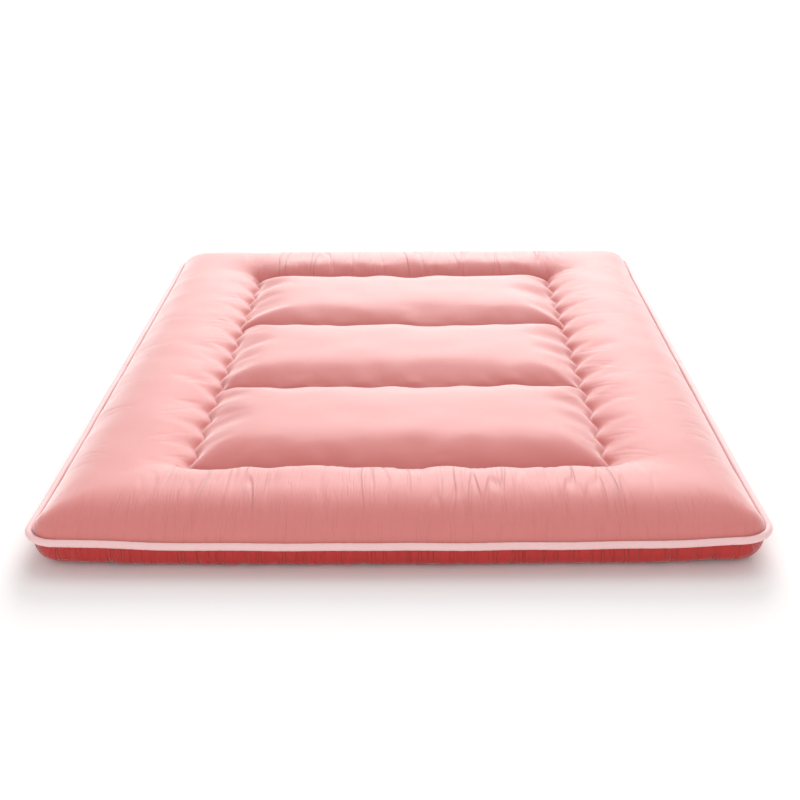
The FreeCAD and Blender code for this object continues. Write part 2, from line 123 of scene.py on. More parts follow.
def lines(stops, seams, slopes, depths):
    """Grid lines through every stop, closer together on the steep slopes beside the seams."""
    fine = np.linspace(stops[0], stops[-1], 20001)
    height = np.zeros_like(fine)
    for seam, (before, after), depth in zip(seams, slopes, depths):
        side = np.where(fine < seam, before, after)
        height = np.maximum(height, depth * dip(np.abs(fine - seam), side))
    arc = np.concatenate([[0], np.cumsum(np.hypot(np.diff(fine), np.diff(height)))])
    found = [stops[0]]
    places = [0.0]
    for low, high in zip(stops, stops[1:]):
        a, b = np.interp([low, high], fine, arc)
        steps = max(1, round((b - a) / CELL))
        marks = np.linspace(a, b, steps + 1)[1:]
        inner = np.interp(marks, arc, fine)
        inner[-1] = high
        found.extend(inner)
        places.extend(marks)
    return np.array(found), np.array(places)


def both_sides(values):
    """The values with their mirror images before them, sharing the zero."""
    return np.concatenate([-values[:0:-1], values])


def rounded(x, y, half_x, half_y, radius):
    """Moves the corners of a square grid inwards on to a round corner."""
    a = np.clip((np.abs(x) - (half_x - radius)) / radius, 0, 1)
    b = np.clip((np.abs(y) - (half_y - radius)) / radius, 0, 1)
    inside = (a > 0) & (b > 0)
    new_x = np.where(inside, np.sign(x) * (half_x - radius + radius * a * np.sqrt(1 - b * b / 2)), x)
    new_y = np.where(inside, np.sign(y) * (half_y - radius + radius * b * np.sqrt(1 - a * a / 2)), y)
    return new_x, new_y


def edge_distance(x, y, half_x, half_y, radius):
    """The distance in from a rounded rectangle, and the outward direction to it."""
    qx, qy = np.abs(x) - (half_x - radius), np.abs(y) - (half_y - radius)
    corner = (qx > 0) & (qy > 0)
    reach = np.hypot(np.maximum(qx, 1e-9), np.maximum(qy, 1e-9))
    side = qx > qy
    distance = np.where(corner, radius - reach, np.where(side, radius - qx, radius - qy))
    nx = np.where(corner, qx / reach, np.where(side, 1.0, 0.0)) * np.sign(x)
    ny = np.where(corner, qy / reach, np.where(side, 0.0, 1.0)) * np.sign(y)
    return distance, nx, ny


def ring_distance(x, y):
    """The distance from the ring seam, and whether a point is outside the ring."""
    over_x, over_y = np.abs(x) - SEAM_X, np.abs(y) - SEAM_Y
    outside = np.hypot(np.maximum(over_x, 0), np.maximum(over_y, 0))
    inside = np.minimum(-over_x, -over_y)
    return np.where(inside > 0, inside, outside), inside <= 0


def cross_distance(x, y):
    """The distance from the nearer cross seam, which ends at the ring seam."""
    return np.hypot(np.maximum(np.abs(x) - SEAM_X, 0), np.abs(np.abs(y) - FOLD_Y))


def plumpness(along, row, seed):
    """An uneven stretch of a slope along its seam, so that the seam's edge is scalloped."""
    return 1 + SLOPE_LUMPS * perlin(along / LUMP_LENGTH, row + 0.5, seed)


def tuck_puff(x, y):
    """The alternating puffs of the border and the pads on each side of the side seams."""
    away = np.abs(x) - SEAM_X
    border_lobe = np.abs(np.cos(math.pi * y / TUCK))
    pad_lobe = np.abs(np.sin(math.pi * y / TUCK))
    lobe = np.where(away >= 0, border_lobe, pad_lobe) - 0.6
    reach = np.exp(-np.abs(away) / TUCK_REACH) * smooth(np.abs(away), 0, TUCK_START)
    return TUCK_PUFF * lobe * reach * smooth(SEAM_Y - np.abs(y), -0.03, 0.05)


def scallop_puff(x, y):
    """The uneven puffs of the pads and the end borders on each side of the seams that run across."""
    puff = 0
    for seam, width in ((FOLD_Y, SEAM_X), (SEAM_Y, SEAM_X + 0.02)):
        away = np.abs(y) - seam
        lumps = perlin(x / SCALLOP_LENGTH, np.sign(y) * (np.sign(away) + 3.5) + 40 * seam, 34)
        reach = np.exp(-((away / SCALLOP_REACH) ** 2)) * smooth(np.abs(away), 0, SCALLOP_START)
        puff = puff + SCALLOP_PUFF * lumps * reach * smooth(width - np.abs(x), 0, 0.06)
    return puff


def top_height(x, y):
    """How far the seams' valleys lie below the crown."""
    over_x, over_y = np.abs(x) - SEAM_X, np.abs(y) - SEAM_Y
    side_scallop = plumpness(y, np.sign(x) + 4, 31)
    end_scallop = plumpness(x, np.sign(y) + 8, 32)
    cross_scallop = plumpness(x, np.sign(y) * 3, 33)
    beyond_end = np.maximum(over_y, 0) * end_scallop * BORDER_SLOPE / BORDER_END_SLOPE
    border = dip(np.hypot(np.maximum(over_x, 0), beyond_end), BORDER_SLOPE)
    side = dip(-over_x * side_scallop, PAD_SLOPE)
    end = dip(-over_y * end_scallop, CROSS_SLOPE)
    inner = np.minimum((side**4 + end**4) ** 0.25, 1)
    outside = (over_x >= 0) | (over_y >= 0)
    ring_dip = RING_DEPTH * np.where(outside, border, inner)
    cross_slope = np.where(outside, BESIDE_CROSS, CROSS_SLOPE)
    cross_dip = CROSS_DEPTH * dip(cross_distance(x, y) * cross_scallop, cross_slope)
    cross_dip = cross_dip * np.where(outside, CROSS_LEFT, 1.0)
    return (ring_dip**4 + cross_dip**4) ** 0.25 - tuck_puff(x, y) - scallop_puff(x, y)


def add_mesh(name, points, faces):
    """A new mesh object from an array of points and a list of faces."""
    mesh = bpy.data.meshes.new(name)
    mesh.from_pydata(points.tolist(), [], faces)
    obj = bpy.data.objects.new(name, mesh)
    bpy.context.scene.collection.objects.link(obj)
    return obj


def grid_faces(columns, rows):
    """Quads of a grid whose point number is row * columns + column."""
    corner = (np.arange(rows - 1)[:, None] * columns + np.arange(columns - 1)[None, :]).ravel()
    return np.stack([corner, corner + 1, corner + columns + 1, corner + columns], axis=1)


def top_lines(half_x, half_y):
    """The top grid's lines across and along, and how far each is measured on the cloth."""
    across = lines([0, SEAM_X, half_x], [SEAM_X], [(PAD_SLOPE, BORDER_SLOPE)], [RING_DEPTH])
    along = lines(
        [0, FOLD_Y, SEAM_Y, half_y], [FOLD_Y, SEAM_Y],
        [(CROSS_SLOPE, CROSS_SLOPE), (CROSS_SLOPE, BORDER_END_SLOPE)], [CROSS_DEPTH, RING_DEPTH],
    )
    return across, along


def seam_place():
    """Where the ring seam lies on the cloth's own coordinates."""
    (xs, us), (ys, vs) = top_lines(COVER_X, COVER_Y)
    return float(np.interp(SEAM_X, xs, us)), float(np.interp(SEAM_Y, ys, vs))


def top_grid():
    """The top cover's start shape: points, cloth coordinates, and what lies on the seams and the edge."""
    arc, run, rise = quarter(EDGE_RUN, START_CROWN - PIPE_Z, EDGE_POWER)
    spare = arc[-1] - run[-1]
    half_x, half_y = COVER_X + spare, COVER_Y + spare
    (xs, us), (ys, vs) = top_lines(half_x, half_y)
    x_lines, y_lines = both_sides(xs), both_sides(ys)
    x, y = np.meshgrid(x_lines, y_lines)
    u, v = np.meshgrid(both_sides(us), both_sides(vs))
    on_ring = (np.abs(np.abs(x) - SEAM_X) < ON_LINE) & (np.abs(y) < SEAM_Y + ON_LINE)
    on_ring |= (np.abs(np.abs(y) - SEAM_Y) < ON_LINE) & (np.abs(x) < SEAM_X + ON_LINE)
    on_cross = (np.abs(np.abs(y) - FOLD_Y) < ON_LINE) & (np.abs(x) < SEAM_X + ON_LINE)
    on_edge = (np.abs(np.abs(x) - half_x) < ON_LINE) | (np.abs(np.abs(y) - half_y) < ON_LINE)
    drops = []
    drawn = []
    for value, half in ((x, half_x), (y, half_y)):
        inset = half - np.abs(value)
        inward = np.where(inset < arc[-1], np.interp(inset, arc, run) + spare - inset, 0)
        drawn.append(np.sign(value) * (np.abs(value) - inward))
        drops.append(1 - np.interp(inset, arc, rise) / rise[-1])
    drop = np.minimum((drops[0] ** CORNER_NORM + drops[1] ** CORNER_NORM) ** (1 / CORNER_NORM), 1)
    px, py = rounded(*drawn, COVER_X, COVER_Y, CORNER)
    inset = np.minimum(half_x - np.abs(x), half_y - np.abs(y))
    pz = PIPE_Z + rise[-1] * (1 - drop) - top_height(px, py) * smooth(inset, *VALLEY_FADE)
    points = np.stack([px, py, pz], axis=-1)
    return points, np.stack([u, v], axis=-1), on_ring, on_cross, on_edge


# ---------------------------------------------------------------- the cloth simulation
FRAMES, PRESSURE = 20, 4.0
GROW, CALM = 0.045, 0.001  # how much the cloth grows where it is fully eased, and where it isn't
BORDER_EASE, SIDE_EASE = 0.12, 0.05  # how far the cloth beside the seams is eased, from 0 to 1
MOST_MOVE = 0.010  # no point moves farther than this


def mesh_points(mesh):
    """A mesh's points as an array."""
    values = np.empty(len(mesh.vertices) * 3)
    mesh.vertices.foreach_get("co", values)
    return values.reshape(-1, 3)


def cloth_settings(settings):
    """A light woven cotton, blown up from below without gravity."""
    settings.quality = 6
    settings.mass = 0.25
    settings.tension_stiffness = 25
    settings.compression_stiffness = 25
    settings.shear_stiffness = 8
    settings.bending_stiffness = 0.15
    settings.air_damping = 1.0
    settings.shrink_min = -GROW
    settings.shrink_max = -CALM
    settings.vertex_group_shrink = "calm"
    settings.use_pressure = True
    settings.uniform_pressure_force = PRESSURE
    settings.vertex_group_mass = "sewn"
    settings.pin_stiffness = 1.0
    settings.effector_weights.gravity = 0


def inflate(obj, pinned, ease):
    """Lets cloth pressure swell a cover between its sewn lines, and returns the new points."""
    start = mesh_points(obj.data)
    group = obj.vertex_groups.new(name="sewn")
    group.add(np.flatnonzero(pinned).tolist(), 1.0, "REPLACE")
    quiet = obj.vertex_groups.new(name="calm")
    levels = np.round(1 - ease, 2)
    for level in np.unique(levels):
        quiet.add(np.flatnonzero(levels == level).tolist(), float(level), "REPLACE")
    cloth = obj.modifiers.new("cloth", "CLOTH")
    cloth_settings(cloth.settings)
    cloth.collision_settings.use_collision = False
    cloth.collision_settings.use_self_collision = False
    cloth.point_cache.frame_start = 1
    cloth.point_cache.frame_end = FRAMES
    scene = bpy.context.scene
    for number in range(1, FRAMES + 1):
        scene.frame_set(number)
    evaluated = obj.evaluated_get(bpy.context.evaluated_depsgraph_get())
    move = mesh_points(evaluated.data) - start
    obj.modifiers.remove(cloth)
    scene.frame_set(1)
    size = np.linalg.norm(move, axis=1, keepdims=True)
    move *= MOST_MOVE * np.tanh(size / MOST_MOVE) / np.maximum(size, 1e-9)
    return start + move


# ---------------------------------------------------------------- work on grids of points
def upsample(grid):
    """Twice as many grid lines each way, through the old points, by four-point interpolation."""

    def along(values):
        ahead, behind = 2 * values[:1] - values[1:2], 2 * values[-1:] - values[-2:-1]
        wide = np.concatenate([ahead, values, behind])
        middle = (9 * (wide[1:-2] + wide[2:-1]) - wide[:-3] - wide[3:]) / 16
        finer = np.empty((2 * len(values) - 1, *values.shape[1:]))
        finer[0::2], finer[1::2] = values, middle
        return finer

    return along(along(grid).swapaxes(0, 1)).swapaxes(0, 1)


def calmed(move, passes=2):
    """The move of each grid point averaged with its neighbours', which removes ripples one cell wide."""
    for _ in range(passes):
        for axis in (0, 1):
            wide = np.concatenate([move.take([0], axis), move, move.take([-1], axis)], axis)
            count = move.shape[axis]
            before, after = wide.take(range(count), axis), wide.take(range(2, count + 2), axis)
            move = (before + 2 * move + after) / 4
    return move


def grid_normals(points):
    """The unit normals of a grid of points, facing up where the grid runs +X then +Y."""
    across, along = np.gradient(points, axis=1), np.gradient(points, axis=0)
    normals = np.cross(across, along)
    return normals / np.maximum(np.linalg.norm(normals, axis=2, keepdims=True), 1e-12)


BOW, CORNER_LIFT, END_SAG = 0.010, 0.006, 0.002


def settle(points):
    """The slight bow and the lifted corners of a mattress that has been slept on."""
    x, y, z = points[..., 0], points[..., 1], points[..., 2]
    across, along = x / PIPE_X, y / PIPE_Y
    bow = BOW * (1 - np.clip(across, -1, 1) ** 2) * smooth(np.abs(along), 0.65, 1.0)
    lift = CORNER_LIFT * smooth(np.abs(across), 0.62, 1.0) * smooth(np.abs(along), 0.72, 1.0)
    sag = END_SAG * (1 - np.clip(across, -1, 1) ** 2) * smooth(np.abs(along), 0.8, 1.0)
    level = np.clip(z / PIPE_Z, 0, 1)
    return np.stack([x, y + np.sign(y) * bow, z + lift - sag * level], axis=-1)


def fold_arch(y):
    """How far the base is drawn up at a distance from the folds."""
    return FOLD_ARCH * (1 - smooth(np.abs(np.abs(y) - FOLD_Y), 0, FOLD_ARCH_REACH))


FOLD_ARCH, FOLD_ARCH_REACH = 0.007, 0.11


def unit(vectors):
    """Vectors of length 1 in the same directions."""
    return vectors / np.linalg.norm(vectors, axis=1, keepdims=True)


def path_lengths(path):
    """The distance along a path to each of its points."""
    return np.concatenate([[0], np.cumsum(np.linalg.norm(np.diff(path, axis=0), axis=1))])


# ---------------------------------------------------------------- pieces from grids
def cloth_map(mesh, places):
    """Gives each point of a mesh its place on the cloth, in metres, for the weave to follow."""
    layer = mesh.uv_layers.new(name="cloth")
    loops = np.empty(len(mesh.loops), int)
    mesh.loops.foreach_get("vertex_index", loops)
    layer.data.foreach_set("uv", places[loops].astype(np.float32).ravel())


def cover_half(name, points, normals, cloth_uv, material, bent):
    """One half of a cover, from a grid of points with the whole cover's normals."""
    rows, columns = points.shape[:2]
    piece = add_mesh(name, points.reshape(-1, 3), grid_faces(columns, rows).tolist())
    mesh = piece.data
    mesh.shade_smooth()
    cloth_map(mesh, cloth_uv.reshape(-1, 2))
    mesh.normals_split_custom_set_from_vertices(normals.reshape(-1, 3).tolist())
    mesh.materials.append(material)
    bent(piece)
    return piece


def bend_foot(piece):
    """Bakes a foot-side piece's transform into its mesh."""
    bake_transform(piece)


def bend_head(piece):
    """Bakes a head-side piece's transform into its mesh."""
    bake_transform(piece)


def section_nodes(kind):
    """The CAD nodes of one kind in all three sections."""
    wanted = {f"{section}_{kind}" for section in ("foot", "middle", "middle_left", "middle_right", "head")}
    return [name for name in frame["nodes"] if name in wanted]


def on_side(side, names):
    """The names of the nodes that a piece at the foot or the head takes the place of."""
    return [name for name in names if name.startswith((side, "middle"))]


def halves(name, points, cloth_uv, material, facing_down=False):
    """A cover's foot half and head half, split at the middle of the mattress."""
    normals = grid_normals(points)
    if facing_down:
        points, normals, cloth_uv = points[:, ::-1], -normals[:, ::-1], cloth_uv[:, ::-1]
    split = points.shape[0] // 2
    parts = ((slice(0, split + 1), bend_foot), (slice(split, None), bend_head))
    for side, (part, bent) in zip(SIDES, parts):
        piece = cover_half(
            f"{name}_{side}_half", points[part], normals[part], cloth_uv[part], material, bent
        )
        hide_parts(*on_side(side, section_nodes(name)))


def tube(name, path, radius, sides, material, out, up):
    """A tube along a path, closed at both ends. out and up are each point's two cross directions."""
    count = len(path)
    angles = np.arange(sides) * 2 * math.pi / sides
    radii = np.broadcast_to(np.asarray(radius, float), (count,))[:, None, None]
    rim = out[:, None, :] * np.cos(angles)[None, :, None] + up[:, None, :] * np.sin(angles)[None, :, None]
    points = (path[:, None, :] + rim * radii).reshape(-1, 3)
    ring = np.arange(sides)
    following = (ring + 1) % sides
    faces = []
    for i in range(count - 1):
        a, b = i * sides, (i + 1) * sides
        faces.append(np.stack([a + ring, a + following, b + following, b + ring], axis=1))
    faces = np.concatenate(faces).tolist()
    faces.append(list(range(sides))[::-1])
    faces.append([(count - 1) * sides + k for k in range(sides)])
    piece = add_mesh(name, points, faces)
    piece.data.shade_smooth()
    around = np.tile(angles, count) * np.mean(radius)
    cloth_map(piece.data, np.stack([np.repeat(path_lengths(path), sides), around], axis=-1))
    piece.data.materials.append(material)
    return piece


# ---------------------------------------------------------------- materials
FABRIC_ROUGHNESS, FABRIC_SPECULAR = 0.62, 0.6
WEAVE_HEIGHT, CREASE_HEIGHT = 0.0004, 0.0028  # of the bumps in the cotton's material


def new_material(name, colour, roughness, specular=0.25, sheen=0.0):
    """A plain material with an even colour."""
    material = bpy.data.materials.new(name)
    material.use_nodes = True
    shader = material.node_tree.nodes["Principled BSDF"]
    shader.inputs["Base Color"].default_value = (*colour, 1)
    shader.inputs["Roughness"].default_value = roughness
    shader.inputs["Specular IOR Level"].default_value = specular
    if sheen:
        shader.inputs["Sheen Weight"].default_value = sheen
        shader.inputs["Sheen Roughness"].default_value = 0.35
        shader.inputs["Sheen Tint"].default_value = (1.0, 0.97, 0.97, 1)
    return material


def math_node(tree, operation, first, second=None, third=None, clamp=False):
    """A Math node whose inputs are sockets or plain numbers."""
    node = tree.nodes.new("ShaderNodeMath")
    node.operation = operation
    node.use_clamp = clamp
    for slot, value in enumerate((first, second, third)):
        if isinstance(value, (int, float)):
            node.inputs[slot].default_value = value
        elif value is not None:
            tree.links.new(value, node.inputs[slot])
    return node.outputs[0]


def noise_node(tree, vector, scale, detail=2.0, roughness=0.5):
    """A Noise texture over a vector."""
    node = tree.nodes.new("ShaderNodeTexNoise")
    node.inputs["Scale"].default_value = scale
    node.inputs["Detail"].default_value = detail
    node.inputs["Roughness"].default_value = roughness
    tree.links.new(vector, node.inputs["Vector"])
    return node.outputs["Fac"]


def step_node(tree, value, low, high):
    """A smooth step from 0 at low to 1 at high."""
    node = tree.nodes.new("ShaderNodeMapRange")
    node.interpolation_type = "SMOOTHSTEP"
    node.inputs["From Min"].default_value = low
    node.inputs["From Max"].default_value = high
    tree.links.new(value, node.inputs["Value"])
    return node.outputs["Result"]


def thread_waves(tree, vector, pitch):
    """The two thread directions of a plain weave."""
    waves = []
    for direction in ("X", "Y"):
        wave = tree.nodes.new("ShaderNodeTexWave")
        wave.bands_direction = direction
        wave.inputs["Scale"].default_value = 2 * math.pi / (20 * pitch)
        wave.inputs["Distortion"].default_value = 1.2
        wave.inputs["Detail"].default_value = 2
        wave.inputs["Detail Scale"].default_value = 4
        tree.links.new(vector, wave.inputs["Vector"])
        waves.append(wave.outputs["Fac"])
    return math_node(tree, "MAXIMUM", *waves)


def gather_lines(tree, place, zone, apart, length, width):
    """Thin creases that run along V, a given distance apart, inside a zone from 0 to 1."""
    stretched = tree.nodes.new("ShaderNodeMapping")
    stretched.inputs["Scale"].default_value = (1 / apart, 1 / length, 1)
    tree.links.new(place, stretched.inputs["Vector"])
    field = noise_node(tree, stretched.outputs["Vector"], 1.0, 1.0)
    from_line = math_node(tree, "ABSOLUTE", math_node(tree, "SUBTRACT", field, 0.5))
    line = math_node(tree, "SUBTRACT", 1.0, step_node(tree, from_line, 0.0, width))
    patchy = step_node(tree, noise_node(tree, stretched.outputs["Vector"], 0.6, 0.0), 0.42, 0.58)
    return math_node(tree, "MULTIPLY", math_node(tree, "MULTIPLY", line, patchy), zone)


def fabric(name, colour, shade, pitch, sheen, turn=0.0, gathers=None):
    """Woven cotton on the cloth's own coordinates: threads, slubs, soft mottling and gathers."""
    material = new_material(name, colour, FABRIC_ROUGHNESS, FABRIC_SPECULAR, sheen)
    tree = material.node_tree
    link = tree.links.new
    shader = tree.nodes["Principled BSDF"]
    place = tree.nodes.new("ShaderNodeUVMap")
    place.uv_map = "cloth"
    turned = tree.nodes.new("ShaderNodeMapping")
    turned.inputs["Rotation"].default_value = (0, 0, turn)
    link(place.outputs["UV"], turned.inputs["Vector"])
    vector = turned.outputs["Vector"]
    weave = thread_waves(tree, vector, pitch)
    slub = noise_node(tree, vector, 260, 3)
    mottle = noise_node(tree, vector, 9, 6, 0.6)
    tone = tree.nodes.new("ShaderNodeMix")
    tone.data_type = "RGBA"
    tone.inputs["A"].default_value = (*shade, 1)
    tone.inputs["B"].default_value = (*colour, 1)
    amount = math_node(tree, "MULTIPLY_ADD", mottle, 0.9, 0.12)
    link(math_node(tree, "MULTIPLY_ADD", weave, 0.35, amount, clamp=True), tone.inputs["Factor"])
    link(tone.outputs["Result"], shader.inputs["Base Color"])
    bump = tree.nodes.new("ShaderNodeBump")
    bump.inputs["Strength"].default_value = 0.25
    bump.inputs["Distance"].default_value = WEAVE_HEIGHT
    link(math_node(tree, "MULTIPLY_ADD", slub, 0.8, weave), bump.inputs["Height"])
    if gathers:
        crease = tree.nodes.new("ShaderNodeBump")
        crease.invert = True
        crease.inputs["Strength"].default_value = 0.85
        crease.inputs["Distance"].default_value = CREASE_HEIGHT
        link(gathers(tree, place.outputs["UV"]), crease.inputs["Height"])
        link(crease.outputs["Normal"], bump.inputs["Normal"])
    link(bump.outputs["Normal"], shader.inputs["Normal"])
    return material


def top_gathers(tree, place):
    """Creases across the foot and head borders, from the seam towards the edge."""
    parts = tree.nodes.new("ShaderNodeSeparateXYZ")
    tree.links.new(place, parts.inputs["Vector"])
    across = math_node(tree, "ABSOLUTE", parts.outputs["X"])
    along = math_node(tree, "ABSOLUTE", parts.outputs["Y"])
    begins = step_node(tree, along, SEAM_V + 0.004, SEAM_V + 0.03)
    ends = step_node(tree, along, SEAM_V + 0.34, SEAM_V + 0.16)
    inside = step_node(tree, across, SEAM_U + 0.10, SEAM_U - 0.02)
    zone = math_node(tree, "MULTIPLY", math_node(tree, "MULTIPLY", begins, ends), inside)
    coarse = gather_lines(tree, place, zone, apart=0.050, length=0.45, width=0.055)
    fine = gather_lines(tree, place, zone, apart=0.016, length=0.20, width=0.06)
    low = step_node(tree, along, SEAM_V + 0.16, SEAM_V + 0.24)
    ribs = gather_lines(tree, place, low, apart=0.010, length=0.10, width=0.10)
    both = math_node(tree, "MULTIPLY_ADD", fine, 0.2, coarse)
    return math_node(tree, "MULTIPLY_ADD", ribs, 0.25, both)


def side_gathers(tree, place):
    """Fine gathers up the sides of the bottom cover."""
    parts = tree.nodes.new("ShaderNodeSeparateXYZ")
    tree.links.new(place, parts.inputs["Vector"])
    across = math_node(tree, "ABSOLUTE", parts.outputs["X"])
    along = math_node(tree, "ABSOLUTE", parts.outputs["Y"])
    end = step_node(tree, along, COVER_Y - 0.09, COVER_Y - 0.07)
    side = step_node(tree, across, COVER_X - 0.09, COVER_X - 0.07)
    swapped = tree.nodes.new("ShaderNodeCombineXYZ")
    tree.links.new(parts.outputs["Y"], swapped.inputs["X"])
    tree.links.new(parts.outputs["X"], swapped.inputs["Y"])
    ends = gather_lines(tree, place, end, apart=0.012, length=0.20, width=0.08)
    sides = gather_lines(tree, swapped.outputs["Vector"], side, apart=0.012, length=0.20, width=0.08)
    return math_node(tree, "MAXIMUM", ends, sides)


SEAM_U, SEAM_V = seam_place()
COTTON_COLOUR, COTTON_SHADE = (0.65, 0.200, 0.188), (0.59, 0.158, 0.147)
# The bottom cover's deeper red is painted shade: a darkened copy of the pink cotton, for the band under the
# piping where shade falls.
BASE_PAINTED_SHADE_COLOUR, BASE_PAINTED_SHADE_DARK_MOTTLE = (0.47, 0.020, 0.016), (0.38, 0.014, 0.011)
COTTON_PITCH = 0.0011  # distance from thread to thread
COTTON = fabric("pink_cotton", COTTON_COLOUR, COTTON_SHADE, COTTON_PITCH, sheen=1.0, gathers=top_gathers)
PAINTED_SHADE_BASE_COTTON = fabric("painted_shade_base_cotton", BASE_PAINTED_SHADE_COLOUR, BASE_PAINTED_SHADE_DARK_MOTTLE, COTTON_PITCH, sheen=0.3, gathers=side_gathers)
BIAS = math.pi / 4  # the piping's tape is cut across the weave
PIPING = fabric("piping_cotton", (0.84, 0.56, 0.56), (0.78, 0.46, 0.46), pitch=0.0009, sheen=0.5, turn=BIAS)
THREAD = fabric("sewing_thread", (0.74, 0.36, 0.34), (0.62, 0.26, 0.24), pitch=0.0005, sheen=0.2)
WADDING = fabric("cotton_wadding", (0.90, 0.88, 0.84), (0.80, 0.77, 0.72), pitch=0.0060, sheen=0.6)
CORE = fabric("felted_core", (0.80, 0.78, 0.73), (0.68, 0.65, 0.60), pitch=0.0040, sheen=0.3)

# ---------------------------------------------------------------- top cover
END_CREASE, SIDE_CREASE, EDGE_CREASE = 0.0020, 0.0007, 0.0010  # crease heights on the borders
PAD_CREASE, CROSS_CREASE = 0.0006, 0.0008  # crease heights on the pads


def creases(along, away, spacing, length, seed, width=0.17):
    """Irregular sharp creases that run away from a seam: a valley with one raised lip."""
    wander = along / spacing + 0.25 * perlin(along / 0.2, away / 0.1, seed + 2)
    line = perlin(wander, away / length + along * 0.7, seed) / width
    keep = smooth(perlin(along / (spacing * 1.6) + 31, away / (length * 0.5) + 7, seed + 1), -0.15, 0.35)
    return (0.9 * line - 0.7) * np.exp(-line * line) * keep


def fine_creases(points):
    """How far the fine creases lift or sink each point of the top cover."""
    x, y = points[..., 0], points[..., 1]
    ring, outside = ring_distance(x, y)
    side_on = np.abs(np.abs(x) - SEAM_X) < np.abs(np.abs(y) - SEAM_Y)
    beyond = np.abs(y) - SEAM_Y
    end_fade = smooth(ring, 0.002, 0.02) * (1 - smooth(beyond, 0.17, 0.285))
    end_zone = (beyond > 0) * (1 - smooth(np.abs(x) - SEAM_X, 0, 0.14)) * end_fade
    end_away = beyond + np.sign(y) * 2
    lifted = END_CREASE * end_zone * creases(x, end_away, spacing=0.034, length=0.34, seed=41)
    away = np.abs(x) - SEAM_X
    side_zone = (away > 0) * (1 - smooth(np.abs(y) - SEAM_Y, -0.02, 0.10)) * smooth(away, 0.002, 0.02)
    slant = y + 0.5 * away + 1.2 * away**2
    side_away = away + np.sign(x) * 3
    by_seam = side_zone * (1 - smooth(away, 0.05, 0.14))
    lifted += SIDE_CREASE * by_seam * creases(slant, side_away, spacing=0.030, length=0.20, seed=61)
    near_edge = side_zone * smooth(away, 0.15, 0.22)
    back_slant = y - 0.3 * away
    lifted += EDGE_CREASE * near_edge * creases(back_slant, side_away, spacing=0.026, length=0.12, seed=71)
    pad_side = ~outside * side_on * smooth(ring, 0.002, 0.015) * (1 - smooth(ring, 0.03, 0.09))
    pad_slant, pad_away = y + 0.4 * ring, ring + np.sign(x) * 5
    lifted += PAD_CREASE * pad_side * creases(pad_slant, pad_away, spacing=0.032, length=0.15, seed=81)
    cross = np.abs(np.abs(y) - FOLD_Y)
    cross_zone = ~outside * smooth(cross, 0.002, 0.012) * (1 - smooth(cross, 0.02, 0.07))
    cross_away = cross + np.sign(y) * 7
    lifted += CROSS_CREASE * cross_zone * creases(x, cross_away, spacing=0.060, length=0.12, seed=91)
    return lifted


grid, cloth_uv, on_ring, on_cross, on_edge = top_grid()
x, y = grid[..., 0], grid[..., 1]
seam = on_ring | on_cross
sewn = seam | on_edge
grid[..., 2] += WAVE * perlin(x / WAVE_LENGTH, y / WAVE_LENGTH, 3) * ~sewn
side_seam = on_ring & (np.abs(np.abs(x) - SEAM_X) < ON_LINE)
end_seam = on_ring & ~side_seam
sway = TUCK_SWAY * np.cos(2 * math.pi * y / TUCK) * smooth(SEAM_Y - np.abs(y), 0, 0.05)
near_seam = np.exp(-((np.abs(x) - SEAM_X) / SWAY_REACH) ** 2) * (np.abs(y) < SEAM_Y)
grid[..., 0] -= np.sign(x) * sway * near_seam
grid[..., 2] += (end_seam | on_cross) * CREST * perlin(x / CREST_LENGTH, y * 3, 5)
ring, outside = ring_distance(x, y)
side_strip = np.abs(np.abs(x) - SEAM_X) < np.abs(np.abs(y) - SEAM_Y)
border_ease = BORDER_EASE * (1 - smooth(ring, 0.03, 0.13))
side_ease = SIDE_EASE * side_strip * (1 - smooth(ring, 0.02, 0.07))
ease = np.where(outside, border_ease, side_ease)
rows, columns = grid.shape[:2]
blank = add_mesh("blank", grid.reshape(-1, 3), grid_faces(columns, rows).tolist())
swollen = inflate(blank, sewn.ravel(), ease.ravel()).reshape(rows, columns, 3)
grid = grid + calmed(swollen - grid) * ~sewn[..., None]
bpy.data.objects.remove(blank)
top = upsample(grid)
top = settle(top + fine_creases(top)[..., None] * grid_normals(top))
halves("top_cover", top, upsample(cloth_uv), COTTON)

# ---------------------------------------------------------------- bottom cover
BOTTOM_RUN, BOTTOM_POWER = 0.042, 2.6  # how the side curves under to the base
BOTTOM_TOP = PIPE_Z - 0.002
BOTTOM_CELL = 0.011
GATHER_PUFF = 0.0035
PUCKER, PUCKER_REACH = 0.006, 0.06  # how far the base's edge is drawn up between its scallops
BASE_CLEAR = 0.0012


